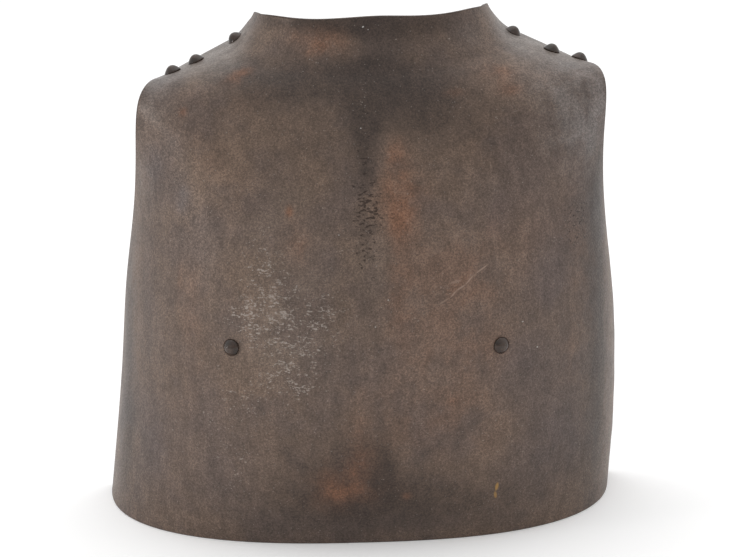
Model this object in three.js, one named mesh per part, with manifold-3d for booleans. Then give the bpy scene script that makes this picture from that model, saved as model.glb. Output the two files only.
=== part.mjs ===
// A heavy iron breastplate: one curved plate with an upright collar, and eight pointed studs.
// Millimetres, +Z up, the front towards -Y. Left and right are as seen from the front.
import * as THREE from "three";
import { mergeVertices } from "three/addons/utils/BufferGeometryUtils.js";
import Module from "manifold-3d";

// Main sizes of the plate.
const HALF_WIDTH = 194; // at the hem
const CREST = 396; // height that the centre line would reach without the neck opening
const DEPTH = 170; // from the ends of the hem to the foremost part of the belly
const THICKNESS = 4.2;
const RISE_BLEND = 0.12; // share of the half width over which the side slope sets in
const SIDE_TILT = 0.016; // the right shoulder stands higher than the left, as hammered

// Soft ridge down the middle of the chest.
const RIDGE_HEIGHT = 2;
const RIDGE_SPREAD = 16;
const RIDGE_FROM = 0.3; // shares of the crest height between which the ridge grows
const RIDGE_FULL = 0.6;

// Neck opening and the collar swept up around it.
const NECK_HALF = 0.434; // share of the half width
const NECK_UP = 0.889; // share of the crest height at the front of the opening
const NECK_SQUARENESS = 2.2;
const COLLAR_RISE = 25.3;
const COLLAR_REACH = 0.35; // width of the sweep as a share of the opening
const COLLAR_TURN = THREE.MathUtils.degToRad(78);
const TIP_EASE = 0.22; // share of the turn that is missing at the two ends of the collar
const TIP_SHARPNESS = 8; // how close to its ends the collar loses that share
const TIP_CUT = 0.02; // share of the form's height that is rounded off at the collar's two ends
const TIP_SPREAD = 0.04; // share of the columns over which that rounding fades

// Mesh lines.
const NECK_SPAN = 0.52; // share of the columns on each side that ends at the neck opening
const SWEEP_SPAN = 0.64; // columns up to here cross the end of the collar
const NECK_COLUMNS = 14;
const SWEEP_COLUMNS = 6;
const SHOULDER_COLUMNS = 8;
const ROWS = 32;
const ROW_PACKING = 1.8; // more than 1 packs the rows towards the collar
const COLUMN_LEAN = 1.5; // more than 1 keeps the columns upright until they near the collar
const NORMAL_STEP = 0.004; // share of the form over which its outward direction is measured

// Studs: a pointed head outside, a shank through the plate and a hammered tail inside.
const HEAD_RADIUS = 6.2;
const HEAD_HEIGHT = 5;
const HEAD_LIP = 0.7;
const SHANK_RADIUS = 2.6;
const TAIL_RADIUS = 4.6;
const TAIL_HEIGHT = 1.8;
const GAP = 0.3; // between a stud and the plate, all round
const STUD_SIDES = 16;
const DRILL_REACH = 5 * THICKNESS; // how far a drill or a probe starts from the face

// Sections from the hem to the back of the shoulders. station orders them, height and edgeUp are
// shares of CREST at the centre line and at the side edges, wide is a share of HALF_WIDTH, front
// and edge are shares of DEPTH that the centre line and the side edges stand forward, wrap is how
// far round the side a section goes in degrees, square is 2 for a section like an ellipse and more
// for a squarer one, and shift is how far it leans to the right as a share of HALF_WIDTH.
const COLUMNS = ["station", "height", "edgeUp", "wide", "front", "edge", "wrap", "square", "shift"];
const SECTIONS = [
  [0.00, 0.000, 0.000, 1.000, 0.850, 0.000, 90, 2.5, -0.052],
  [0.12, 0.120, 0.132, 0.993, 0.945, 0.030, 90, 2.2, -0.026],
  [0.28, 0.280, 0.295, 0.976, 1.000, 0.085, 90, 2.0, -0.005],
  [0.44, 0.440, 0.458, 0.944, 0.996, 0.170, 88, 2.0, -0.003],
  [0.56, 0.560, 0.597, 0.903, 0.920, 0.310, 80, 2.1, 0.000],
  [0.68, 0.680, 0.719, 0.885, 0.818, 0.430, 70, 2.2, 0.005],
  [0.80, 0.800, 0.811, 0.877, 0.669, 0.470, 60, 2.3, 0.015],
  [0.90, 0.904, 0.841, 0.848, 0.448, 0.375, 50, 2.4, 0.023],
  [1.00, 0.996, 0.832, 0.815, 0.000, 0.150, 40, 2.4, 0.023],
];

// Where each stud sits: across is -1 at the left edge and 1 at the right edge, and along is 0 at
// the hem and 1 at the top.
const STUDS = [
  { name: "stud_chest_left", across: -0.37, along: 0.4 },
  { name: "stud_chest_right", across: 0.315, along: 0.4 },
  { name: "stud_neck_left", across: -0.615, along: 0.985 },
  { name: "stud_neck_right", across: 0.64, along: 0.985 },
  { name: "stud_middle_left", across: -0.785, along: 0.97 },
  { name: "stud_middle_right", across: 0.795, along: 0.96 },
  { name: "stud_outer_left", across: -0.895, along: 0.955 },
  { name: "stud_outer_right", across: 0.945, along: 0.965 },
];

const PLATE_MATERIAL = { color: 0x65574e, metalness: 0.85, roughness: 0.5 };
const STUD_MATERIAL = { color: 0x3b2d27, metalness: 0.85, roughness: 0.38 };

// Second slopes of the natural cubic spline through one column of the section table.
function splineBends(xs, ys) {
  const bends = new Array(xs.length).fill(0);
  const carry = new Array(xs.length).fill(0);
  for (let i = 1; i < xs.length - 1; i += 1) {
    const before = xs[i] - xs[i - 1];
    const after = xs[i + 1] - xs[i];
    const change = (ys[i + 1] - ys[i]) / after - (ys[i] - ys[i - 1]) / before;
    const pivot = 2 * (before + after) - before * carry[i - 1];
    carry[i] = after / pivot;
    bends[i] = (6 * change - before * bends[i - 1]) / pivot;
  }
  for (let i = xs.length - 2; i > 0; i -= 1) {
    bends[i] -= carry[i] * bends[i + 1];
  }
  return bends;
}

const STATIONS = SECTIONS.map((row) => row[0]);
const CURVES = {};
COLUMNS.forEach((column, i) => {
  const values = SECTIONS.map((row) => row[i]);
  CURVES[column] = { values, bends: splineBends(STATIONS, values) };
});

// Value of one column of the section table at any station.
function read(column, station) {
  const { values, bends } = CURVES[column];
  let i = 0;
  while (i < STATIONS.length - 2 && station > STATIONS[i + 1]) {
    i += 1;
  }
  const step = STATIONS[i + 1] - STATIONS[i];
  const b = (station - STATIONS[i]) / step;
  const a = 1 - b;
  const bend = ((a ** 3 - a) * bends[i] + (b ** 3 - b) * bends[i + 1]) * step ** 2 / 6;
  return a * values[i] + b * values[i + 1] + bend;
}

// Point of the body form, without the collar, at a sideways share and a station.
function bodyPoint(side, station) {
  const at = (column) => read(column, station);
  const power = 2 / at("square");
  const wrap = THREE.MathUtils.degToRad(at("wrap"));
  const turn = Math.abs(side) * wrap;
  const out = (Math.sin(turn) / Math.sin(wrap)) ** power;
  const flat = (angle) => Math.max(Math.cos(angle), 0) ** power;
  const back = (1 - flat(turn)) / (1 - flat(wrap));
  const slope = (Math.hypot(out, RISE_BLEND) - RISE_BLEND) / (Math.hypot(1, RISE_BLEND) - RISE_BLEND);
  const x = HALF_WIDTH * (at("wide") * Math.sign(side) * out + at("shift"));
  const fade = THREE.MathUtils.smoothstep(station, RIDGE_FROM, RIDGE_FULL);
  const ridge = RIDGE_HEIGHT * fade * Math.exp(-((x / RIDGE_SPREAD) ** 2));
  const y = -DEPTH * (at("front") + (at("edge") - at("front")) * back) - ridge;
  const z = CREST * (at("height") + (at("edgeUp") - at("height")) * slope) + SIDE_TILT * x * station;
  return new THREE.Vector3(x, y, z);
}

// Point of the outer face. The columns near the middle end at the neck opening and the others
// end at the back of the shoulders. Around the opening the face sweeps in and up.
function outerPoint(across, along) {
  const reach = Math.abs(across);
  const quarter = Math.min(reach / NECK_SPAN, 1) * Math.PI / 2;
  const power = 2 / NECK_SQUARENESS;
  let topSide = NECK_HALF * Math.sin(quarter) ** power;
  const topUp = 1 - (1 - NECK_UP) * Math.max(Math.cos(quarter), 0) ** power;
  if (reach > NECK_SPAN) {
    topSide = NECK_HALF + (1 - NECK_HALF) * (reach - NECK_SPAN) / (1 - NECK_SPAN);
  }
  const lean = along ** COLUMN_LEAN;
  const side = reach * (1 - lean) + topSide * lean;
  const cut = TIP_CUT * Math.exp(-(((reach - NECK_SPAN) / TIP_SPREAD) ** 2));
  const up = along * ((reach > NECK_SPAN ? 1 : topUp) - cut);
  const sideways = side / NECK_HALF;
  const below = (1 - up) / (1 - NECK_UP);
  const ring = (sideways ** NECK_SQUARENESS + below ** NECK_SQUARENESS) ** (1 / NECK_SQUARENESS);
  const sweep = THREE.MathUtils.clamp(1 - (ring - 1) / COLLAR_REACH, 0, 1);
  const tip = Math.min(sideways / ring, 1) ** TIP_SHARPNESS;
  const turn = sweep * COLLAR_TURN * (1 - TIP_EASE * tip);
  const pulled = 1 + COLLAR_REACH * (1 - Math.sin(turn) / Math.sin(COLLAR_TURN));
  const scale = sweep > 0 ? pulled / ring : 1;
  const point = bodyPoint(Math.sign(across) * side * scale, 1 - (1 - up) * scale);
  point.z += COLLAR_RISE * (1 - Math.cos(turn)) / (1 - Math.cos(COLLAR_TURN));
  return point;
}

// Outward direction of the face at one place.
function outward(across, along) {
  const step = NORMAL_STEP;
  const sideways = outerPoint(across + step, along).sub(outerPoint(across - step, along));
  const upward = outerPoint(across, along + step).sub(outerPoint(across, along - step));
  return sideways.cross(upward).normalize();
}

function columnShares() {
  const half = [];
  for (let i = 1; i <= NECK_COLUMNS; i += 1) {
    half.push(NECK_SPAN * i / NECK_COLUMNS);
  }
  for (let i = 1; i <= SWEEP_COLUMNS; i += 1) {
    half.push(NECK_SPAN + (SWEEP_SPAN - NECK_SPAN) * i / SWEEP_COLUMNS);
  }
  for (let i = 1; i <= SHOULDER_COLUMNS; i += 1) {
    half.push(SWEEP_SPAN + (1 - SWEEP_SPAN) * i / SHOULDER_COLUMNS);
  }
  return [...half.map((share) => -share).reverse(), 0, ...half];
}

// Closed shell between the outer face and an inner face one thickness inside it.
function shellGeometry() {
  const columns = columnShares();
  const wide = columns.length;
  const outer = [];
  for (let row = 0; row <= ROWS; row += 1) {
    const along = 1 - (1 - row / ROWS) ** ROW_PACKING;
    for (const across of columns) {
      outer.push(outerPoint(across, along));
    }
  }
  const faces = [];
  for (let row = 0; row < ROWS; row += 1) {
    for (let i = 0; i < wide - 1; i += 1) {
      const a = row * wide + i;
      faces.push([a, a + 1, a + wide + 1], [a, a + wide + 1, a + wide]);
    }
  }
  const face = new THREE.BufferGeometry().setFromPoints(outer);
  face.setIndex(faces.flat());
  face.computeVertexNormals();
  const normals = face.getAttribute("normal");
  const inner = outer.map((point, i) => {
    const normal = new THREE.Vector3().fromBufferAttribute(normals, i);
    if (i < wide) {
      normal.setZ(0).normalize(); // keeps the hem flat
    }
    return point.clone().addScaledVector(normal, -THICKNESS);
  });
  const count = outer.length;
  const index = faces.flat();
  for (const [a, b, c] of faces) {
    index.push(a + count, c + count, b + count);
  }
  const rim = [];
  for (let i = 0; i < wide; i += 1) {
    rim.push(i);
  }
  for (let row = 1; row <= ROWS; row += 1) {
    rim.push(row * wide + wide - 1);
  }
  for (let i = wide - 2; i >= 0; i -= 1) {
    rim.push(ROWS * wide + i);
  }
  for (let row = ROWS - 1; row >= 1; row -= 1) {
    rim.push(row * wide);
  }
  rim.forEach((a, i) => {
    const b = rim[(i + 1) % rim.length];
    index.push(b, a, a + count, b, a + count, b + count);
  });
  const shell = new THREE.BufferGeometry().setFromPoints([...outer, ...inner]);
  shell.setIndex(index);
  return shell;
}

const wasm = await Module();
wasm.setup();

function toSolid(geometry) {
  const bare = new THREE.BufferGeometry();
  bare.setAttribute("position", geometry.getAttribute("position"));
  bare.setIndex(geometry.getIndex());
  const merged = mergeVertices(bare, 1e-4);
  const vertProperties = new Float32Array(merged.getAttribute("position").array);
  const triVerts = new Uint32Array(merged.getIndex().array);
  return new wasm.Manifold(new wasm.Mesh({ numProp: 3, vertProperties, triVerts }));
}

function toGeometry(solid) {
  const mesh = solid.getMesh();
  const geometry = new THREE.BufferGeometry();
  geometry.setAttribute("position", new THREE.BufferAttribute(mesh.vertProperties, 3));
  geometry.setIndex(new THREE.BufferAttribute(mesh.triVerts, 1));
  return geometry;
}

// Frame whose y axis points out of the plate at a stud.
function studFrame(stud) {
  const origin = outerPoint(stud.across, stud.along);
  const turn = new THREE.Quaternion();
  turn.setFromUnitVectors(new THREE.Vector3(0, 1, 0), outward(stud.across, stud.along));
  return new THREE.Matrix4().compose(origin, turn, new THREE.Vector3(1, 1, 1));
}

// How far the face of the plate stands out, over a ring of the given radius and its centre.
function faceLevel(plate, frame, radius, sign) {
  const direction = new THREE.Vector3(0, -sign, 0).transformDirection(frame);
  let level = -Infinity;
  for (let i = 0; i < STUD_SIDES; i += 1) {
    const angle = 2 * Math.PI * i / STUD_SIDES;
    for (const share of [0.5, 0.75, 1]) {
      const reach = radius * share;
      const [x, z] = [reach * Math.cos(angle), reach * Math.sin(angle)];
      const start = new THREE.Vector3(x, sign * DRILL_REACH, z).applyMatrix4(frame);
      const hit = new THREE.Raycaster(start, direction).intersectObject(plate)[0];
      if (hit) {
        level = Math.max(level, DRILL_REACH - hit.distance);
      }
    }
  }
  return level;
}

// A stud along the y axis, with its head and tail seated at the given distances from the centre.
function studGeometry(headSeat, tailSeat) {
  const dome = [
    { out: 0.93, rise: 0.22 },
    { out: 0.76, rise: 0.46 },
    { out: 0.52, rise: 0.7 },
    { out: 0.26, rise: 0.89 },
  ];
  const profile = [
    new THREE.Vector2(0, -tailSeat - TAIL_HEIGHT),
    new THREE.Vector2(TAIL_RADIUS * 0.7, -tailSeat - TAIL_HEIGHT * 0.8),
    new THREE.Vector2(TAIL_RADIUS, -tailSeat - TAIL_HEIGHT * 0.3),
    new THREE.Vector2(TAIL_RADIUS, -tailSeat),
    new THREE.Vector2(SHANK_RADIUS, -tailSeat),
    new THREE.Vector2(SHANK_RADIUS, headSeat),
    new THREE.Vector2(HEAD_RADIUS, headSeat),
    new THREE.Vector2(HEAD_RADIUS, headSeat + HEAD_LIP),
    ...dome.map(({ out, rise }) => {
      const height = HEAD_LIP + (HEAD_HEIGHT - HEAD_LIP) * rise;
      return new THREE.Vector2(HEAD_RADIUS * out, headSeat + height);
    }),
    new THREE.Vector2(0, headSeat + HEAD_HEIGHT),
  ];
  return new THREE.LatheGeometry(profile, STUD_SIDES);
}

// The shell with a drilled hole for each stud.
const shell = shellGeometry();
let plateSolid = toSolid(shell);
const frames = STUDS.map(studFrame);
for (const frame of frames) {
  const radius = SHANK_RADIUS + GAP;
  const drill = new THREE.CylinderGeometry(radius, radius, 2 * DRILL_REACH, STUD_SIDES);
  plateSolid = plateSolid.subtract(toSolid(drill.applyMatrix4(frame)));
}

const solidShell = new THREE.Mesh(shell, new THREE.MeshBasicMaterial({ side: THREE.DoubleSide }));
const pieces = [{ name: "plate", geometry: toGeometry(plateSolid), look: PLATE_MATERIAL }];
STUDS.forEach((stud, i) => {
  const headSeat = faceLevel(solidShell, frames[i], HEAD_RADIUS, 1) + GAP;
  const tailSeat = faceLevel(solidShell, frames[i], TAIL_RADIUS, -1) + GAP;
  const geometry = studGeometry(headSeat, tailSeat).applyMatrix4(frames[i]);
  pieces.push({ name: stud.name, geometry, look: STUD_MATERIAL });
});

// The plate stands on its hem, with the middle of its outline box over the origin.
const box = new THREE.Box3();
for (const piece of pieces) {
  piece.geometry.computeBoundingBox();
  box.union(piece.geometry.boundingBox);
}
const middle = box.getCenter(new THREE.Vector3());

const part = new THREE.Group();
for (const { name, geometry, look } of pieces) {
  geometry.translate(-middle.x, -middle.y, -box.min.z);
  const mesh = new THREE.Mesh(geometry, new THREE.MeshStandardMaterial({ ...look, name }));
  mesh.name = name;
  part.add(mesh);
}

export default part;
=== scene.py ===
"""The looks of a browned iron breastplate: a fine plate, its studs, patina, light and camera."""
import math

import bpy
import numpy as np
from mathutils import Matrix, Vector


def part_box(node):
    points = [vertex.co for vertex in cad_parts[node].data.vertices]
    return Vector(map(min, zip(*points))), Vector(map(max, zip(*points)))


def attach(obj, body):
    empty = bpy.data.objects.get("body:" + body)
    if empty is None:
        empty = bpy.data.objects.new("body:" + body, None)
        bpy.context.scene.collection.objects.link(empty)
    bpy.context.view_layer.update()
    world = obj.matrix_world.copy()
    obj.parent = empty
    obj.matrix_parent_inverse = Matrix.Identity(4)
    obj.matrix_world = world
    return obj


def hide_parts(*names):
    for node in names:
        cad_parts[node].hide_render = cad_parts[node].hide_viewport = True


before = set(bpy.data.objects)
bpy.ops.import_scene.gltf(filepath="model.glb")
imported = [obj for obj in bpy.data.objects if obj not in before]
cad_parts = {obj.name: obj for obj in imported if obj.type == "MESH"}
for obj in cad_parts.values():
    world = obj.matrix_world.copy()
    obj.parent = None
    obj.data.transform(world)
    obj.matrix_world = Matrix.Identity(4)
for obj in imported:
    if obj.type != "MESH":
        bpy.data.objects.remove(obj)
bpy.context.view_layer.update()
MM = 0.001

# Form of the plate, in millimetres: the same named sizes and sections as the part's own source.
HALF_WIDTH = 194
CREST = 396
DEPTH = 170
THICKNESS = 4.2
RISE_BLEND = 0.12
SIDE_TILT = 0.016
RIDGE_HEIGHT = 2
RIDGE_SPREAD = 16
RIDGE_FROM = 0.3
RIDGE_FULL = 0.6
NECK_HALF = 0.434
NECK_UP = 0.889
NECK_SQUARENESS = 2.2
COLLAR_RISE = 25.3
COLLAR_REACH = 0.35
COLLAR_TURN = math.radians(78)
TIP_EASE = 0.22
TIP_SHARPNESS = 8
TIP_CUT = 0.02
TIP_SPREAD = 0.04
NECK_SPAN = 0.52
COLUMN_LEAN = 1.5
COLUMNS = ["station", "height", "edge_up", "wide", "front", "edge", "wrap", "square", "shift"]
SECTIONS = np.array([
    [0.00, 0.000, 0.000, 1.000, 0.850, 0.000, 90, 2.5, -0.052],
    [0.12, 0.120, 0.132, 0.993, 0.945, 0.030, 90, 2.2, -0.026],
    [0.28, 0.280, 0.295, 0.976, 1.000, 0.085, 90, 2.0, -0.005],
    [0.44, 0.440, 0.458, 0.944, 0.996, 0.170, 88, 2.0, -0.003],
    [0.56, 0.560, 0.597, 0.903, 0.920, 0.310, 80, 2.1, 0.000],
    [0.68, 0.680, 0.719, 0.885, 0.818, 0.430, 70, 2.2, 0.005],
    [0.80, 0.800, 0.811, 0.877, 0.669, 0.470, 60, 2.3, 0.015],
    [0.90, 0.904, 0.841, 0.848, 0.448, 0.375, 50, 2.4, 0.023],
    [1.00, 0.996, 0.832, 0.815, 0.000, 0.150, 40, 2.4, 0.023],
])

# Fine mesh of the plate. The inner face has half as many columns and rows.
FINE_COLUMNS = 320
FINE_ROWS = 224
ROW_PACKING = 1.35
EDGE_ROUND = 0.9
EDGE_STEPS = 8
EDGE_SQUARENESS = 2.6

# Hammered relief: size of the bumps, seed, number of waves and height, in millimetres. It fades in
# over a twelfth of the grid from each edge and is sunk a little, so that it stays in the plate's
# box. The inner face has a part of its height, and reads the waves some way off.
RELIEF = [(34, 3, 24, 0.32), (12, 4, 24, 0.14), (5.5, 5, 40, 0.05)]
RELIEF_FADE = 12
RELIEF_SINK = 0.2
INNER_RELIEF = 0.4
INNER_OFFSET = 500

# Where the back of the shoulders is paler, partly worn by handling and partly painted sheen, as
# shares of the grid, and the least share of the upper edge.
WEAR_AND_SHEEN_ALONG = (0.84, 1.0)
WEAR_AND_SHEEN_ACROSS = (0.5, 0.64)
WEAR_AND_SHEEN_EDGE = 0.5

# Studs: where each sits on the form, and its profile.
HEAD_RADIUS = 6.2
HEAD_HEIGHT = 5
HEAD_LIP = 0.7
TAIL_RADIUS = 4.6
TAIL_HEIGHT = 1.8
STUD_SIDES = 48
STUDS = {
    "stud_chest_left": (-0.37, 0.4),
    "stud_chest_right": (0.315, 0.4),
    "stud_neck_left": (-0.615, 0.985),
    "stud_neck_right": (0.64, 0.985),
    "stud_middle_left": (-0.785, 0.97),
    "stud_middle_right": (0.795, 0.96),
    "stud_outer_left": (-0.895, 0.955),
    "stud_outer_right": (0.945, 0.965),
}

# Camera of the photograph, in the row's frame.
PICTURE_WIDTH = 740
CAMERA_TARGET = (6.2, -2.1, 185.3)
CAMERA_DISTANCE = 1800
CAMERA_HEIGHT = 15
CAMERA_TURN = -1.6
CAMERA_ROLL = -1.0
FOCAL_PIXELS = 2448
SENSOR = 36

# Brightness of the white surroundings ahead of the plate, and what the back and the sky add: axis,
# where the rise starts and ends, and its share.
FRONT_LIGHT = 0.68
LIGHT_RISES = [("Y", -0.6, 0.3, 0.32), ("Z", 0.2, 0.9, 0.25)]

# Soft lamps: name, place, target and size in metres, and power in watts.
LAMPS = [
    ("side_left", (-1.5, -0.5, 0.5), (0, 0, 0.2), (0.3, 0.4), 4),
    ("side_right", (1.5, -0.5, 0.5), (0, 0, 0.2), (0.15, 0.6), 0.5),
    ("over", (0, 0.3, 1.8), (0, 0, 0.1), (1.6, 1.2), 3),
]
FLOOR_REACH = 9


def natural_bends(stations, values):
    """Second slopes of the natural cubic splines through the columns of a table."""
    count = len(stations)
    step = np.diff(stations)
    left = np.eye(count)
    right = np.zeros_like(values)
    for i in range(1, count - 1):
        left[i, i - 1:i + 2] = step[i - 1], 2 * (step[i - 1] + step[i]), step[i]
        slopes = (values[i + 1] - values[i]) / step[i] - (values[i] - values[i - 1]) / step[i - 1]
        right[i] = 6 * slopes
    return np.linalg.solve(left, right)


BENDS = natural_bends(SECTIONS[:, 0], SECTIONS)


def read_sections(station):
    """Every column of the section table at an array of stations."""
    knots = SECTIONS[:, 0]
    i = np.clip(np.searchsorted(knots, station) - 1, 0, len(knots) - 2)
    step = knots[i + 1] - knots[i]
    b = ((station - knots[i]) / step)[..., None]
    a = 1 - b
    bend = ((a ** 3 - a) * BENDS[i] + (b ** 3 - b) * BENDS[i + 1]) * (step ** 2 / 6)[..., None]
    found = a * SECTIONS[i] + b * SECTIONS[i + 1] + bend
    return {name: found[..., k] for k, name in enumerate(COLUMNS)}


def smoothstep(value, low, high):
    share = np.clip((value - low) / (high - low), 0, 1)
    return share * share * (3 - 2 * share)


def body_point(side, station):
    """Points of the body form without its collar."""
    at = read_sections(station)
    power = 2 / at["square"]
    wrap = np.radians(at["wrap"])
    turn = np.abs(side) * wrap
    out = (np.sin(turn) / np.sin(wrap)) ** power

    def flat(angle):
        return np.clip(np.cos(angle), 0, 1) ** power

    back = (1 - flat(turn)) / (1 - flat(wrap))
    slope = (np.hypot(out, RISE_BLEND) - RISE_BLEND) / (math.hypot(1, RISE_BLEND) - RISE_BLEND)
    x = HALF_WIDTH * (at["wide"] * np.sign(side) * out + at["shift"])
    fade = smoothstep(station, RIDGE_FROM, RIDGE_FULL)
    ridge = RIDGE_HEIGHT * fade * np.exp(-((x / RIDGE_SPREAD) ** 2))
    y = -DEPTH * (at["front"] + (at["edge"] - at["front"]) * back) - ridge
    z = CREST * (at["height"] + (at["edge_up"] - at["height"]) * slope) + SIDE_TILT * x * station
    return np.stack([x, y, z], axis=-1)


def outer_point(across, along):
    """Points of the outer face. across runs from -1 to 1 and along from 0 at the hem to 1."""
    across, along = np.broadcast_arrays(np.asarray(across, float), np.asarray(along, float))
    reach = np.abs(across)
    quarter = np.minimum(reach / NECK_SPAN, 1) * math.pi / 2
    power = 2 / NECK_SQUARENESS
    beside = NECK_HALF + (1 - NECK_HALF) * (reach - NECK_SPAN) / (1 - NECK_SPAN)
    top_side = np.where(reach > NECK_SPAN, beside, NECK_HALF * np.sin(quarter) ** power)
    under = 1 - (1 - NECK_UP) * np.clip(np.cos(quarter), 0, 1) ** power
    top_up = np.where(reach > NECK_SPAN, 1, under)
    lean = along ** COLUMN_LEAN
    side = reach * (1 - lean) + top_side * lean
    cut = TIP_CUT * np.exp(-(((reach - NECK_SPAN) / TIP_SPREAD) ** 2))
    up = along * (top_up - cut)
    sideways = side / NECK_HALF
    below = np.abs(1 - up) / (1 - NECK_UP)
    ring = (sideways ** NECK_SQUARENESS + below ** NECK_SQUARENESS) ** (1 / NECK_SQUARENESS)
    sweep = np.clip(1 - (ring - 1) / COLLAR_REACH, 0, 1)
    tip = np.minimum(sideways / ring, 1) ** TIP_SHARPNESS
    turn = sweep * COLLAR_TURN * (1 - TIP_EASE * tip)
    pulled = 1 + COLLAR_REACH * (1 - np.sin(turn) / math.sin(COLLAR_TURN))
    scale = np.where(sweep > 0, pulled / ring, 1)
    point = body_point(np.sign(across) * side * scale, 1 - (1 - up) * scale)
    point[..., 2] += COLLAR_RISE * (1 - np.cos(turn)) / (1 - math.cos(COLLAR_TURN))
    return point


def unit(vectors):
    return vectors / np.linalg.norm(vectors, axis=-1, keepdims=True)


def grid_normals(points):
    """Outward directions over a grid of points whose rows run from left to right."""
    sideways = np.gradient(points, axis=1)
    upward = np.gradient(points, axis=0)
    return unit(np.cross(sideways, upward))


def row_shift(points):
    """How far to move the form so that the middle of its box lies over the solid plate's."""
    low, high = (np.array(corner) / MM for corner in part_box("plate"))
    middle = (points.reshape(-1, 3).min(0) + points.reshape(-1, 3).max(0)) / 2
    return np.array([(low[0] + high[0]) / 2 - middle[0], (low[1] + high[1]) / 2 - middle[1], 0])


# Soft random fields, worked out from a few waves each, so that they need no image.
def waves(points, size, seed, count):
    """A smooth field of about -1 to 1 whose bumps are about as wide as size, in millimetres."""
    rng = np.random.default_rng(seed)
    directions = unit(rng.normal(size=(count, 3)))
    lengths = size * rng.uniform(1.4, 3.2, count)
    phases = rng.uniform(0, 2 * math.pi, count)
    total = np.zeros(points.shape[:-1])
    for direction, length, phase in zip(directions, lengths, phases):
        total += np.sin(points @ direction * (2 * math.pi / length) + phase)
    return total / math.sqrt(count / 2) / 2


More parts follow.
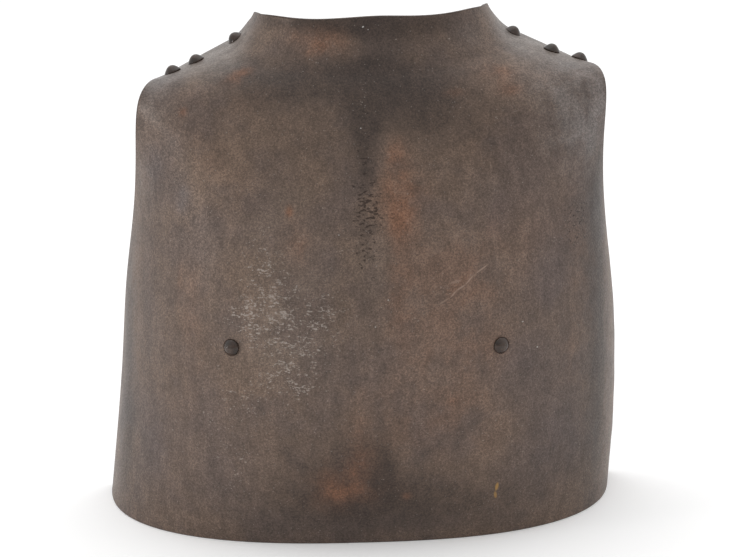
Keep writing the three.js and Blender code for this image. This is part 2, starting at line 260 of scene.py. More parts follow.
# Places on the front of the plate, in millimetres from the row's origin: x and z of the middle,
# width and height of the patch, its lean in degrees and its strength.
PLACES = {
    "brown": [
        (-28, 360, 54, 26, 0, 0.9),
        (-75, 325, 60, 40, 0, 0.35),
        (-45, 228, 30, 50, 0, 0.7),
        (-75, 255, 60, 60, 0, 0.3),
        (-124, 180, 26, 130, 0, 0.6),
        (-110, 290, 30, 60, 30, 0.4),
        (26, 282, 22, 50, 0, 0.6),
        (30, 240, 34, 90, 0, 0.8),
        (26, 186, 26, 70, 0, 0.8),
        (55, 215, 60, 80, 30, 0.55),
        (74, 190, 70, 70, 30, 0.75),
        (60, 150, 90, 70, 0, 0.6),
        (70, 95, 90, 60, 0, 0.6),
        (20, 110, 60, 60, 0, 0.5),
        (-8, 80, 34, 70, 0, 0.4),
        (-20, 45, 60, 40, 0, 0.8),
        (24, 50, 40, 30, 0, 0.4),
        (100, 335, 50, 24, 0, 0.5),
        (90, 300, 60, 40, 0, 0.25),
        (172, 175, 16, 80, 0, 0.6),
        (150, 130, 30, 60, 0, 0.3),
        (108, 225, 90, 90, 0, 0.45),
        (160, 200, 40, 140, 0, 0.5),
        (-165, 200, 30, 200, 0, 0.3),
    ],
    "rust": [
        (-32, 359, 50, 20, 0, 0.8),
        (-84, 339, 20, 8, 20, 0.7),
        (-126, 315, 8, 8, 30, 0.8),
        (-51, 251, 6, 9, 0, 1.0),
        (-44, 226, 8, 16, 0, 0.4),
        (-90, 335, 24, 16, 20, 0.35),
        (100, 338, 26, 10, -10, 0.6),
        (108, 327, 22, 10, 0, 0.6),
        (68, 325, 24, 8, 0, 0.4),
        (22, 284, 10, 20, 0, 0.5),
        (28, 264, 34, 60, -8, 0.7),
        (24, 290, 12, 24, 0, 0.4),
        (34, 252, 26, 16, 30, 0.6),
        (26, 240, 14, 50, 0, 0.45),
        (22, 200, 10, 50, 0, 0.5),
        (30, 205, 12, 30, 0, 0.3),
        (30, 172, 12, 20, 0, 0.35),
        (66, 196, 50, 8, 38, 0.35),
        (72, 186, 44, 6, 38, 0.3),
        (-17, 47, 20, 14, 0, 0.5),
        (-18, 48, 50, 44, 0, 0.6),
        (-12, 64, 14, 30, 0, 0.35),
        (-4, 80, 22, 50, 0, 0.35),
        (28, 40, 8, 8, 0, 0.6),
        (62, 112, 12, 8, 0, 0.4),
        (-132, 196, 8, 60, 0, 0.25),
        (44, 150, 10, 16, 0, 0.3),
    ],
    "cool": [
        (-148, 275, 26, 40, 0, 0.8),
        (-128, 254, 18, 26, 0, 0.9),
        (-158, 180, 30, 150, 0, 0.55),
        (-155, 70, 50, 90, 0, 0.8),
        (-112, 120, 30, 50, 0, 0.5),
        (-100, 60, 80, 70, 0, 0.6),
        (-24, 216, 18, 30, 0, 0.7),
        (-70, 338, 40, 16, 0, 0.3),
        (96, 244, 30, 40, 0, 0.7),
        (120, 250, 60, 90, 0, 0.5),
        (132, 190, 50, 44, 0, 0.7),
        (112, 140, 50, 60, 0, 0.7),
        (140, 60, 80, 90, 0, 0.9),
        (160, 270, 40, 80, 0, 0.5),
        (140, 335, 60, 30, 0, 0.3),
        (140, 200, 40, 60, 0, 0.5),
        (44, 330, 60, 40, 0, 0.4),
        (-60, 20, 100, 30, 0, 0.4),
        (40, 20, 120, 30, 0, 0.6),
    ],
    # Partly patina, partly painted shade down the ridge and side edges; darker towards the hem.
    "dark": [
        (34, 373, 110, 24, 0, 0.35),
        (-60, 373, 60, 14, 0, 0.5),
        (-22, 373, 60, 14, 0, 0.6),
        (-5, 342, 240, 34, 0, 0.22),
        (14, 373, 60, 24, 0, 0.55),
        (56, 368, 70, 22, 0, 0.3),
        (4, 336, 24, 44, 0, 0.35),
        (38, 314, 60, 60, 0, 0.25),
        (12, 334, 50, 44, 0, 0.5),
        (44, 330, 90, 50, 0, 0.45),
        (60, 304, 80, 60, 0, 0.3),
        (-56, 334, 110, 40, 0, 0.6),
        (-40, 310, 110, 60, 0, 0.2),
        (4, 308, 20, 66, 0, 0.85),
        (-30, 292, 60, 50, 0, 0.25),
        (3, 276, 20, 60, 0, 0.6),
        (0, 240, 12, 24, 0, 0.3),
        (2, 226, 14, 34, 0, 0.25),
        (13, 60, 18, 60, 0, 0.4),
        (176, 240, 40, 110, 0, 0.6),
        (-178, 200, 30, 160, 0, 0.3),
        (-178, 50, 36, 90, 0, 0.3),
        (-118, 156, 40, 60, 0, 0.25),
        (-92, 340, 40, 24, 0, 0.25),
        (-32, 60, 70, 50, 0, 0.2),
        (30, 34, 120, 60, 0, 0.2),
        (-10, 26, 200, 70, 0, 0.4),
        (-110, 8, 120, 30, 0, 0.15),
        (110, 20, 100, 50, 0, 0.2),
        (100, 306, 80, 50, 0, 0.2),
        (150, 230, 60, 120, 0, 0.15),
        (176, 120, 44, 260, 0, 0.8),
        (150, 200, 50, 200, 0, 0.15),
        (150, 60, 60, 120, 0, 0.2),
        (-176, 120, 34, 240, 0, 0.6),
        (-12, 86, 110, 80, 0, 0.3),
        (-4, 74, 30, 34, 0, 0.3),
        (20, 42, 260, 50, 0, 0.22),
        (130, 130, 60, 80, 0, 0.15),
    ],
    "pale": [
        (-59, 166, 80, 90, 0, 0.6),
        (-60, 255, 50, 50, 0, 0.25),
        (-40, 215, 30, 60, 0, 0.3),
        (74, 200, 60, 50, 30, 0.5),
        (40, 225, 40, 60, 0, 0.35),
        (50, 170, 60, 50, 0, 0.35),
        (96, 196, 30, 40, 0, 0.2),
        (-124, 200, 30, 120, 0, 0.3),
        (-150, 200, 40, 180, 0, 0.3),
        (-36, 357, 64, 24, 0, 1.0),
        (50, 212, 110, 60, 0, 0.75),
        (76, 192, 80, 60, 0, 0.35),
        (70, 218, 90, 70, 20, 0.35),
        (-62, 238, 70, 70, 0, 0.5),
        (34, 226, 50, 50, 0, 0.4),
        (36, 190, 50, 60, 0, 0.3),
        (34, 128, 50, 50, 0, 0.4),
        (93, 258, 40, 40, 0, 0.35),
        (50, 130, 70, 60, 0, 0.2),
    ],
    # Pale grey patches on the shoulders and upper sides: painted sheen.
    "painted_sheen": [
        (-158, 262, 50, 60, 0, 0.5),
        (-128, 256, 16, 24, 0, 0.4),
        (158, 316, 50, 60, 0, 0.9),
        (166, 280, 40, 60, 0, 0.4),
        (-150, 318, 40, 30, 0, 0.5),
        (120, 330, 40, 30, 0, 0.3),
        (78, 362, 34, 30, 0, 0.45),
        (-148, 332, 40, 22, 0, 1.0),
        (166, 325, 30, 30, 0, 0.5),
        (150, 338, 54, 30, 0, 0.6),
        (170, 312, 40, 60, 0, 0.4),
        (144, 290, 50, 50, 0, 0.4),
    ],
    "flecks": [
        (-70, 208, 36, 50, 0, 0.8),
        (-60, 160, 80, 110, 0, 0.35),
        (-66, 188, 46, 24, 10, 1.0),
        (-52, 176, 60, 16, 8, 1.0),
        (-80, 168, 30, 22, 0, 0.8),
        (-44, 150, 36, 46, 0, 0.9),
        (-56, 132, 40, 40, 0, 0.8),
        (-84, 176, 44, 14, 10, 0.7),
        (-72, 222, 16, 30, 0, 0.55),
        (-30, 180, 40, 50, 0, 0.45),
        (-92, 116, 40, 30, 0, 0.45),
        (-110, 90, 60, 60, 0, 0.3),
        (-92, 56, 30, 70, 0, 0.5),
        (92, 92, 60, 34, 0, 0.4),
        (10, 180, 36, 60, 0, 0.35),
        (56, 196, 60, 18, 38, 0.5),
        (132, 290, 40, 50, 0, 0.3),
        (104, 308, 12, 22, -60, 0.5),
        (66, 316, 30, 14, 0, 0.4),
        (0, 322, 20, 14, 0, 0.5),
        (36, 356, 20, 12, 0, 0.45),
        (-32, 350, 30, 16, 0, 0.3),
    ],
    "pits": [
        (4, 316, 18, 40, 0, 0.6),
        (3, 290, 24, 40, 0, 0.8),
        (2, 262, 22, 40, 0, 0.85),
        (3, 240, 24, 34, 0, 0.9),
        (3, 218, 22, 26, 0, 0.7),
        (22, 250, 24, 20, 0, 0.6),
        (38, 222, 12, 18, 0, 0.6),
        (-22, 282, 20, 24, 0, 0.55),
        (-60, 298, 80, 30, 0, 0.35),
        (158, 228, 40, 60, 0, 0.95),
        (100, 312, 60, 30, 0, 0.3),
        (20, 180, 40, 60, 0, 0.4),
        (40, 40, 80, 30, 0, 0.35),
    ],
}

# Small marks, in the same columns, drawn in the material because they are finer than the mesh.
# Their middles lie at one Y, and they reach as far in front of it and behind it, in metres.
MARK_Y = -0.1
MARK_DEPTH = 0.2
MARKS = {
    "scratch": [
        (56, 187, 10, 1.5, 28, 0.5),
        (63, 191.5, 8, 1.5, 45, 0.7),
        (68.5, 195.5, 10, 1.5, 28, 0.75),
        (75, 200.5, 12, 1.5, 45, 0.8),
        (84, 207, 15, 1.4, 31, 0.75),
        (65, 200, 11, 2.4, 12, 0.45),
    ],
    "ochre": [
        (94.5, 41, 3.2, 9, -12, 1.0),
        (93.5, 34, 3.0, 8, 6, 0.8),
    ],
    "white": [
        (4.4, 371.4, 2.2, 1.4, 30, 0.8),
        (8.0, 369.4, 1.4, 1.1, 0, 0.6),
        (0.6, 304.9, 1.4, 1.1, 0, 0.7),
        (16.6, 190.3, 1.2, 1.2, 0, 0.5),
        (124.8, 144.2, 1.6, 1.4, 0, 0.6),
        (7.1, 171.9, 1.2, 1.2, 0, 0.4),
        (113.6, 165.3, 2.0, 1.2, 0, 0.35),
        (-17, 234.6, 1.4, 1.2, 0, 0.35),
    ],
}


def place_fields(points, front):
    """Strength of each kind of patch at every point, by distance along the face."""
    fields = {}
    for kind, rows in PLACES.items():
        total = np.zeros(len(points))
        for x, z, width, height, lean, strength in rows:
            near = front[np.argmin((front[:, 0] - x) ** 2 + (front[:, 2] - z) ** 2)]
            gap = points - near
            sideways = np.hypot(gap[:, 0], gap[:, 1]) * np.sign(gap[:, 0])
            turn = math.radians(lean)
            along = sideways * math.cos(turn) + gap[:, 2] * math.sin(turn)
            over = gap[:, 2] * math.cos(turn) - sideways * math.sin(turn)
            total += strength * np.exp(-((2 * along / width) ** 2) - ((2 * over / height) ** 2))
        fields[kind] = np.clip(total, 0, 1)
    return fields


def edge_directions(points):
    """For each point on the rim of a grid, the direction along the face that leaves the grid."""
    away = np.zeros_like(points)
    away[0] += unit(points[0] - points[1])
    away[-1] += unit(points[-1] - points[-2])
    away[:, 0] += unit(points[:, 0] - points[:, 1])
    away[:, -1] += unit(points[:, -1] - points[:, -2])
    return away


def rim_order(rows, columns):
    """Grid places once round the rim: along the hem, up the right side, back and down."""
    low = [(0, i) for i in range(columns)]
    right = [(j, columns - 1) for j in range(1, rows)]
    top = [(rows - 1, i) for i in range(columns - 2, -1, -1)]
    left = [(j, 0) for j in range(rows - 2, 0, -1)]
    return np.array(low + right + top + left)


def grid_faces(rows, columns, start, flip):
    """Quads over a grid whose first point has the number start."""
    number = start + np.arange(rows * columns).reshape(rows, columns)
    corners = [number[:-1, :-1], number[:-1, 1:], number[1:, 1:], number[1:, :-1]]
    if flip:
        corners.reverse()
    return np.stack(corners, axis=-1).reshape(-1, 4).tolist()


def hammer_relief(points):
    """Height of the forged surface in millimetres: a slight wave, shallow dents and small marks."""
    return sum(height * waves(points, size, seed, count) for size, seed, count, height in RELIEF)


def plate_mesh():
    """The fine plate: a dense outer face, rounded edges and a plainer inner face.

    Returns its points, faces, outer points, wear-and-sheen shares and how far the form was moved.
    """
    across = np.linspace(-1, 1, FINE_COLUMNS + 1)
    along = 1 - (1 - np.linspace(0, 1, FINE_ROWS + 1)) ** ROW_PACKING
    outer = outer_point(across[None, :], along[:, None])
    shift = row_shift(outer)
    outer = outer + shift
    normals = grid_normals(outer)
    normals[0, :, 2] = 0
    normals = unit(normals)
    rows, columns = outer.shape[:2]
    rim = rim_order(rows, columns)
    rim_at = (rim[:, 0], rim[:, 1])
    away = unit(edge_directions(outer)[rim_at])
    on_hem = rim[:, 0] == 0
    away[on_hem, :2] = 0
    away = unit(away)
    rim_outer = outer[rim_at].copy()
    rim_normal = normals[rim_at]

    up, side = along[:, None], np.abs(across[None, :])
    share = np.minimum(up * RELIEF_FADE, 1) * np.minimum((1 - up) * RELIEF_FADE, 1)
    share = share * np.minimum((1 - side) * RELIEF_FADE, 1)
    relief = hammer_relief(outer) * share
    outer = outer + normals * (relief - RELIEF_SINK * share)[..., None]
    outer[rim_at] = rim_outer - away * EDGE_ROUND

    # Pale band over the back of the shoulders and the upper edge: partly wear, partly painted
    # sheen.
    wear_and_sheen_band = smoothstep(up, *WEAR_AND_SHEEN_ALONG) * smoothstep(side, *WEAR_AND_SHEEN_ACROSS)
    worn = [wear_and_sheen_band.ravel()]
    top_edge = rim[:, 0] == rows - 1
    rim_wear_and_sheen = np.where(top_edge, np.maximum(wear_and_sheen_band[rim_at], WEAR_AND_SHEEN_EDGE), wear_and_sheen_band[rim_at])
    vertices = [outer.reshape(-1, 3)]
    faces = grid_faces(rows, columns, 0, flip=False)
    ring = rim[:, 0] * columns + rim[:, 1]
    start = rows * columns
    for step in range(1, EDGE_STEPS):
        depth = (1 - math.cos(math.pi * step / EDGE_STEPS)) / 2
        bulge = (1 - abs(2 * depth - 1) ** EDGE_SQUARENESS) ** (1 / EDGE_SQUARENESS)
        points = rim_outer - rim_normal * THICKNESS * depth - away * EDGE_ROUND * (1 - bulge)
        vertices.append(points)
        worn.append(rim_wear_and_sheen)
        new_ring = start + np.arange(len(ring))
        following, new_following = np.roll(ring, -1), np.roll(new_ring, -1)
        faces += np.stack([following, ring, new_ring, new_following], axis=-1).tolist()
        ring, start = new_ring, start + len(ring)

    inner = outer_point(across[None, ::2], along[::2, None]) + shift
    inner_relief = hammer_relief(inner + INNER_OFFSET) * share[::2, ::2]
    inner = inner - normals[::2, ::2] * (THICKNESS + INNER_RELIEF * inner_relief)[..., None]
    coarse = rim_order(*inner.shape[:2])
    coarse_at = (coarse[:, 0], coarse[:, 1])
    inner[coarse_at] -= away[::2] * EDGE_ROUND
    vertices.append(inner.reshape(-1, 3))
    worn.append(np.zeros(inner.size // 3))
    faces += grid_faces(*inner.shape[:2], start, flip=True)
    coarse_ring = start + coarse[:, 0] * inner.shape[1] + coarse[:, 1]
    for i, here in enumerate(coarse_ring):
        there = coarse_ring[(i + 1) % len(coarse_ring)]
        first, second, third = (ring[(2 * i + k) % len(ring)] for k in range(3))
        faces += [(second, first, here), (second, here, there), (third, second, there)]
    return np.concatenate(vertices), faces, outer.reshape(-1, 3), np.concatenate(worn), shift


def make_object(name, vertices, faces):
    """A smooth shaded mesh object from points in millimetres."""
    mesh = bpy.data.meshes.new(name)
    mesh.from_pydata((np.asarray(vertices) * MM).tolist(), [], [[int(i) for i in f] for f in faces])
    mesh.update()
    mesh.shade_smooth()
    made = bpy.data.objects.new(name, mesh)
    bpy.context.scene.collection.objects.link(made)
    return made


def store(mesh, name, values):
    """Keeps one number for each point of a mesh, for its material to read."""
    layer = mesh.attributes.new(name, "FLOAT", "POINT")
    layer.data.foreach_set("value", np.asarray(values, dtype=np.float32))


class Nodes:
    """Short calls for building one material's node tree."""

    def __init__(self, name):
        self.material = bpy.data.materials.new(name)
        self.material.use_nodes = True
        self.tree = self.material.node_tree
        self.shader = self.tree.nodes["Principled BSDF"]

    def add(self, kind, settings=None, **inputs):
        """A node of a kind, with its settings and its inputs given by name or as numbers."""
        node = self.tree.nodes.new(kind)
        for key, value in (settings or {}).items():
            setattr(node, key, value)
        for key, value in inputs.items():
            by_number = key[0] == "i" and key[1:].isdigit()
            self.feed(node.inputs[int(key[1:]) if by_number else key], value)
        return node

    def feed(self, socket, value):
        if isinstance(value, bpy.types.NodeSocket):
            self.tree.links.new(value, socket)
        else:
            socket.default_value = value

    def math(self, operation, a, b=0.0):
        return self.add("ShaderNodeMath", {"operation": operation}, i0=a, i1=b).outputs[0]

    def attribute(self, name):
        return self.add("ShaderNodeAttribute", {"attribute_name": name}).outputs["Fac"]

    def noise(self, place, size, detail=2.0, roughness=0.5):
        """Noise of 0 to 1 whose bumps are about as wide as size, in millimetres."""
        node = self.add("ShaderNodeTexNoise", None, Vector=place, Scale=1000.0 / size / 2,
                        Detail=detail, Roughness=roughness)
        return node.outputs["Fac"]

    def stretch(self, place, scale):
        node = self.add("ShaderNodeVectorMath", {"operation": "MULTIPLY"}, i0=place, i1=scale)
        return node.outputs[0]

    def ramp(self, value, low, high, start=0.0, end=1.0):
        node = self.add("ShaderNodeMapRange", {"interpolation_type": "SMOOTHSTEP"}, i0=value,
                        i1=low, i2=high, i3=start, i4=end)
        return node.outputs[0]

    def mix(self, share, first, second, blend="MIX"):
        node = self.add("ShaderNodeMix", {"data_type": "RGBA", "blend_type": blend})
        self.feed(node.inputs[0], share)
        self.feed(node.inputs[6], first)
        self.feed(node.inputs[7], second)
        return node.outputs[2]

    def marks(self, place, kind, breaks):
        """Share of a kind of small mark, each an ellipse seen from the front with a broken edge."""
        total = 0.0
        for x, z, width, height, lean, strength in MARKS[kind]:
            mapping = self.add("ShaderNodeMapping", {"vector_type": "TEXTURE"}, Vector=place)
            mapping.inputs["Location"].default_value = (x * MM, MARK_Y, z * MM)
            mapping.inputs["Rotation"].default_value = (0, -math.radians(lean), 0)
            mapping.inputs["Scale"].default_value = (width * MM / 2, MARK_DEPTH, height * MM / 2)
            away = self.add("ShaderNodeVectorMath", {"operation": "LENGTH"}, i0=mapping.outputs[0])
            edge = self.math("ADD", away.outputs["Value"], self.math("MULTIPLY", breaks, 0.8))
            mask = self.ramp(edge, 0.85, 1.45, strength, 0.0)
            total = self.math("MAXIMUM", mask, total)
        return total


def colour(red, green, blue):
    return (red, green, blue, 1.0)


# Colours of the plate: its iron, then each kind of patch and mark in the order of mixing, with the
# share that it takes where it is strongest. The pale grey patches on the shoulders are painted
# sheen, the pale band at the back of the shoulders is wear with painted sheen, and the dark patches
# are partly painted shade.
IRON = [colour(0.104, 0.073, 0.059), colour(0.134, 0.090, 0.065)]
STAINS_AND_PAINTED_LIGHT = [
    ("pale", 0.8, colour(0.160, 0.121, 0.096)),
    ("cool", 0.7, colour(0.086, 0.066, 0.063)),
    ("brown", 0.7, colour(0.148, 0.086, 0.059)),
    # Partly patina, partly painted shade.
    ("dark", 0.8, colour(0.028, 0.018, 0.014)),
    ("painted_sheen", 0.6, colour(0.172, 0.157, 0.152)),
    # Painted sheen on the shoulders and upper sides.
    ("rust", 0.66, colour(0.215, 0.098, 0.053)),
    # Wear with painted sheen at the back of the shoulders and on the upper edge.
    ("worn", 0.6, colour(0.25, 0.235, 0.222)),
]
PIT = colour(0.026, 0.013, 0.008)
FLECK = colour(0.34, 0.295, 0.26)
DOT = colour(0.33, 0.29, 0.26)
MARK_COLOURS = {
    "ochre": colour(0.30, 0.17, 0.055),
    "scratch": colour(0.30, 0.21, 0.165),
    "white": colour(0.60, 0.58, 0.55),
}
INNER_IRON = [colour(0.060, 0.042, 0.034), colour(0.095, 0.060, 0.043)]
STUD_IRON = [colour(0.015, 0.008, 0.0045), colour(0.042, 0.022, 0.014)]
STUD_WORN = colour(0.16, 0.125, 0.105)


def plate_material():
    """Browned forged iron: mottled patina, fine grain, pits, rust stains and pale flecks."""
    n = Nodes("browned_iron")
    place = n.add("ShaderNodeTexCoord").outputs["Object"]
    upright = n.stretch(place, (1.0, 1.0, 0.22))
    level = n.stretch(place, (1.0, 1.0, 2.0))
    cloud = n.noise(place, 26, detail=3, roughness=0.6)
    mottle = n.noise(place, 6, detail=4, roughness=0.65)
    patches = n.noise(place, 13, detail=5, roughness=0.62)
    streaks = n.noise(upright, 3.5, detail=3, roughness=0.6)
    grain = n.noise(place, 0.8, detail=1, roughness=0.6)
    fine = n.noise(place, 0.42, detail=1, roughness=0.6)

    def share_of(kind):
        """How much of a kind of patch shows. All but the dark ones are broken up by mottling."""
        field = n.attribute(kind)
        if kind == "dark":
            return n.ramp(field, 0.0, 1.0)
        if kind == "worn":
            return n.math("MULTIPLY", field, n.ramp(mottle, 0.3, 0.7, 0.7, 1.1))
        return n.ramp(n.math("MULTIPLY", field, n.ramp(patches, 0.3, 0.7, 0.4, 1.3)), 0.0, 1.1)

    tone = n.mix(n.ramp(cloud, 0.36, 0.64), *IRON)
    for kind, share, patch_colour in STAINS_AND_PAINTED_LIGHT:
        tone = n.mix(n.math("MULTIPLY", share_of(kind), share), tone, patch_colour)
    shade = 1.0
    for noise, depth in ((mottle, 0.14), (streaks, 0.10), (grain, 0.15), (fine, 0.23)):
        shade = n.math("MULTIPLY", shade, n.ramp(noise, 0.3, 0.7, 1 - depth, 1 + depth))
    shade = n.add("ShaderNodeCombineColor", None, i0=shade, i1=shade, i2=shade).outputs[0]
    tone = n.mix(1.0, tone, shade, "MULTIPLY")

    pit_noise = n.noise(level, 1.8, detail=2, roughness=0.6)
    pit_mask = n.math("MULTIPLY", n.attribute("pits"), 0.25)
    pits = n.ramp(n.math("ADD", pit_noise, pit_mask), 0.77, 0.86)
    tone = n.mix(n.math("MULTIPLY", pits, 0.85), tone, PIT)

    fleck_noise = n.noise(level, 1.3, detail=2, roughness=0.65)
    fleck_mask = n.math("MULTIPLY", n.attribute("flecks"), 0.19)
    fleck_cloud = n.ramp(n.noise(level, 5, detail=2), 0.35, 0.65, -0.09, 0.07)
    flecks = n.math("ADD", n.math("ADD", fleck_noise, fleck_mask), fleck_cloud)
    tone = n.mix(n.math("MULTIPLY", n.ramp(flecks, 0.73, 0.87), 0.7), tone, FLECK)

    cells = n.add("ShaderNodeTexVoronoi", None, Vector=place, Scale=1000.0 / 4.2)
    dots = n.ramp(cells.outputs["Distance"], 0.07, 0.12, 1.0, 0.0)
    dots = n.math("MULTIPLY", dots, n.ramp(n.attribute("flecks"), 0.0, 1.0, 0.3, 0.7))
    tone = n.mix(dots, tone, DOT)
    for kind, mark in MARK_COLOURS.items():
        tone = n.mix(n.marks(place, kind, mottle), tone, mark)

    inner = n.mix(n.ramp(mottle, 0.3, 0.7), *INNER_IRON)
    tone = n.mix(n.attribute("inside"), tone, inner)
    n.feed(n.shader.inputs["Base Color"], tone)

    n.shader.inputs["Metallic"].default_value = 0.5
    n.shader.inputs["Coat Weight"].default_value = 0.13
    n.shader.inputs["Coat Roughness"].default_value = 0.3
    rough = n.ramp(grain, 0.25, 0.75, 0.62, 0.46)
    rough = n.math("ADD", rough, n.math("MULTIPLY", n.attribute("rust"), 0.1))
    n.feed(n.shader.inputs["Roughness"], rough)

    height = n.math("ADD", n.math("MULTIPLY", grain, 0.16), n.math("MULTIPLY", fine, 0.10))
    height = n.math("ADD", height, n.math("MULTIPLY", mottle, 0.2))
    height = n.math("SUBTRACT", height, n.math("MULTIPLY", pits, 0.5))
    bump = n.add("ShaderNodeBump", None, Strength=1.0, Distance=MM, Height=height)
    n.feed(n.shader.inputs["Normal"], bump.outputs[0])
    return n.material


def stud_material():
    """Dark brown-black iron, worn paler on the points."""
    n = Nodes("stud_iron")
    place = n.add("ShaderNodeTexCoord").outputs["Object"]
    mottle = n.noise(place, 2.5, detail=3, roughness=0.6)
    grain = n.noise(place, 0.5, detail=2)
    tone = n.mix(n.ramp(mottle, 0.3, 0.7), *STUD_IRON)
    worn = n.math("MULTIPLY", n.attribute("point"), n.ramp(grain, 0.35, 0.65, 0.4, 1.0))
    tone = n.mix(n.math("MULTIPLY", worn, 0.25), tone, STUD_WORN)
    n.feed(n.shader.inputs["Base Color"], tone)
    n.shader.inputs["Metallic"].default_value = 0.1
    n.feed(n.shader.inputs["Roughness"], n.ramp(mottle, 0.25, 0.75, 0.12, 0.22))
    height = n.math("ADD", n.math("MULTIPLY", mottle, 0.08), n.math("MULTIPLY", grain, 0.012))
    bump = n.add("ShaderNodeBump", None, Strength=0.7, Distance=MM, Height=height)
    n.feed(n.shader.inputs["Normal"], bump.outputs[0])
    return n.material


def make_plate():
    """The plate, with its patches stored on its points. Returns how far the form was moved."""
    vertices, faces, front, worn, shift = plate_mesh()
    plate = make_object("breastplate", vertices, faces)
    fields = place_fields(vertices, front)
    count = len(front)
    is_inner = np.zeros(len(vertices))
    is_inner[count:] = 1
    for name, values in fields.items():
        values[count:] = 0
        store(plate.data, name, values)
    store(plate.data, "inside", is_inner)
    store(plate.data, "worn", worn)
    plate.data.materials.append(plate_material())
    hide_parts("plate")
    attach(plate, "root")
    return shift


def stud_profile():
    """Radius and height of a stud from its tail to its point, from the plate's outer face."""
    seat = 0.4
    tail = [(0, 1.0), (0.5, 0.95), (0.8, 0.75), (1.0, 0.35), (1.0, -0.2)]
    points = [(TAIL_RADIUS * r, -THICKNESS - TAIL_HEIGHT * h) for r, h in tail]
    points.append((TAIL_RADIUS * 0.6, -THICKNESS + seat))
    points.append((HEAD_RADIUS * 0.6, -seat))
    points += [(HEAD_RADIUS, -seat), (HEAD_RADIUS, HEAD_LIP * 0.5)]
    for i in range(12):
        share = i / 12
        radius = HEAD_RADIUS * (1 - share) ** 0.9 * (1 - 0.02 * math.sin(math.pi * share))
        rise = HEAD_LIP + (HEAD_HEIGHT - HEAD_LIP) * math.sin(share * math.pi / 2) ** 0.95
        points.append((radius * 0.985, rise))
    points.append((0, HEAD_HEIGHT))
    return points


def make_stud(name, across, along, shift, material):
    """One pointed stud, seated on the plate and a little uneven, as hammered."""
    centre = outer_point(across, along) + shift
    step = 0.004
    sideways = outer_point(across + step, along) - outer_point(across - step, along)
    upward = outer_point(across, along + step) - outer_point(across, along - step)
    axis = Vector(unit(np.cross(sideways, upward)))
    turn = axis.to_track_quat("Z", "Y").to_matrix()
    profile = stud_profile()
    vertices = []
    for radius, height in profile[1:-1]:
        for i in range(STUD_SIDES):
            angle = 2 * math.pi * i / STUD_SIDES
            vertices.append((radius * math.cos(angle), radius * math.sin(angle), height))
    rings = len(profile) - 2
    faces = []
    for j in range(rings - 1):
        for i in range(STUD_SIDES):
            a, b = j * STUD_SIDES + i, j * STUD_SIDES + (i + 1) % STUD_SIDES
            faces.append((a, b, b + STUD_SIDES, a + STUD_SIDES))
    vertices += [(0, 0, profile[0][1]), (0, 0, profile[-1][1])]
    last = (rings - 1) * STUD_SIDES
    for i in range(STUD_SIDES):
        following = (i + 1) % STUD_SIDES
        faces.append((following, i, len(vertices) - 2))
        faces.append((last + i, last + following, len(vertices) - 1))
    local = np.array(vertices)
    placed = local @ np.array(turn).T + centre
    stud = make_object(name + "_fine", placed, faces)
    store(stud.data, "point", smoothstep(local[:, 2], HEAD_HEIGHT * 0.6, HEAD_HEIGHT))
    stud.data.materials.append(material)
    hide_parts(name)
    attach(stud, "root")


def make_floor():
    mesh = bpy.data.meshes.new("floor")
    signs = [(-1, -1), (1, -1), (1, 1), (-1, 1)]
    corners = [(x * FLOOR_REACH, y * FLOOR_REACH, 0) for x, y in signs]
    mesh.from_pydata(corners, [], [(0, 1, 2, 3)])
    floor = bpy.data.objects.new("floor", mesh)
    bpy.context.scene.collection.objects.link(floor)
    n = Nodes("pale_floor")
    n.shader.inputs["Base Color"].default_value = colour(0.93, 0.93, 0.93)
    n.shader.inputs["Emission Color"].default_value = colour(1, 1, 1)
    n.shader.inputs["Emission Strength"].default_value = 0.12
    n.shader.inputs["Roughness"].default_value = 0.9
    mesh.materials.append(n.material)


def soft_light(name, place, target, size, power):
    """A rectangular area light at a place, turned towards a target."""
    lamp = bpy.data.lights.new(name, "AREA")
    lamp.shape = "RECTANGLE"
    lamp.size, lamp.size_y = size
    lamp.energy = power
    made = bpy.data.objects.new(name, lamp)
    made.location = place
    made.rotation_euler = (Vector(target) - Vector(place)).to_track_quat("-Z", "Y").to_euler()
    bpy.context.scene.collection.objects.link(made)


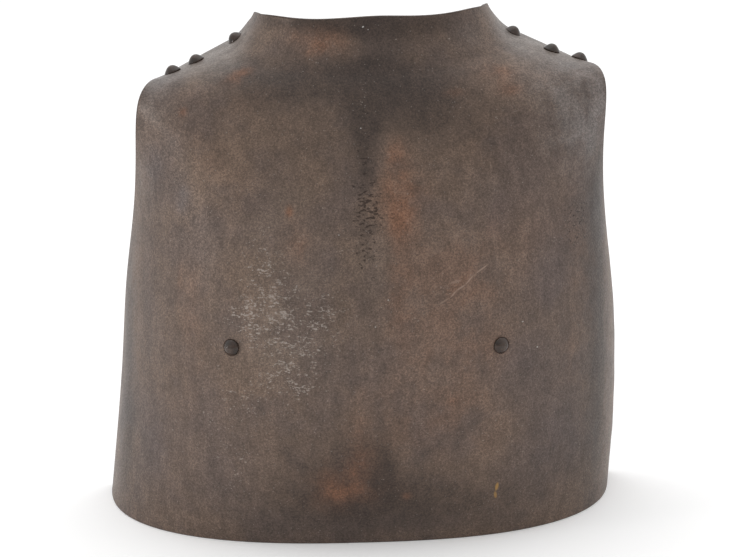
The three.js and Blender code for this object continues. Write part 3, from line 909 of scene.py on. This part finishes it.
def make_lights():
    world = bpy.data.worlds.new("studio")
    world.use_nodes = True
    bpy.context.scene.world = world
    nodes, links = world.node_tree.nodes, world.node_tree.links
    background = nodes["Background"]
    background.inputs[0].default_value = colour(1, 1, 1)
    split = nodes.new("ShaderNodeSeparateXYZ")
    links.new(nodes.new("ShaderNodeTexCoord").outputs["Generated"], split.inputs[0])
    strength = FRONT_LIGHT
    for axis, low, high, share in LIGHT_RISES:
        rise = nodes.new("ShaderNodeMapRange")
        rise.interpolation_type = "SMOOTHSTEP"
        for number, value in enumerate((low, high, 0.0, share), start=1):
            rise.inputs[number].default_value = value
        links.new(split.outputs[axis], rise.inputs[0])
        total = nodes.new("ShaderNodeMath")
        links.new(rise.outputs[0], total.inputs[0])
        if isinstance(strength, float):
            total.inputs[1].default_value = strength
        else:
            links.new(strength, total.inputs[1])
        strength = total.outputs[0]
    links.new(strength, background.inputs[1])
    for lamp in LAMPS:
        soft_light(*lamp)


def make_camera():
    data = bpy.data.cameras.new("camera")
    data.sensor_width = SENSOR
    data.lens = FOCAL_PIXELS / PICTURE_WIDTH * SENSOR
    data.clip_start, data.clip_end = 0.05, 50
    camera = bpy.data.objects.new("camera", data)
    bpy.context.scene.collection.objects.link(camera)
    height, turn, roll = (math.radians(v) for v in (CAMERA_HEIGHT, CAMERA_TURN, CAMERA_ROLL))
    level = math.cos(height)
    back = Vector((math.sin(turn) * level, -math.cos(turn) * level, math.sin(height)))
    right = Vector((math.cos(turn), math.sin(turn), 0))
    up = back.cross(right)
    rolled_right = right * math.cos(roll) + up * math.sin(roll)
    rolled_up = up * math.cos(roll) - right * math.sin(roll)
    rotation = Matrix((rolled_right, rolled_up, back)).transposed().to_4x4()
    place = (Vector(CAMERA_TARGET) + back * CAMERA_DISTANCE) * MM
    camera.matrix_world = Matrix.Translation(place) @ rotation
    bpy.context.scene.camera = camera


form_shift = make_plate()
dark_iron = stud_material()
for stud_name, (stud_across, stud_along) in STUDS.items():
    make_stud(stud_name, stud_across, stud_along, form_shift, dark_iron)
make_floor()
make_lights()
make_camera()
bpy.context.scene.view_settings.view_transform = "Standard"
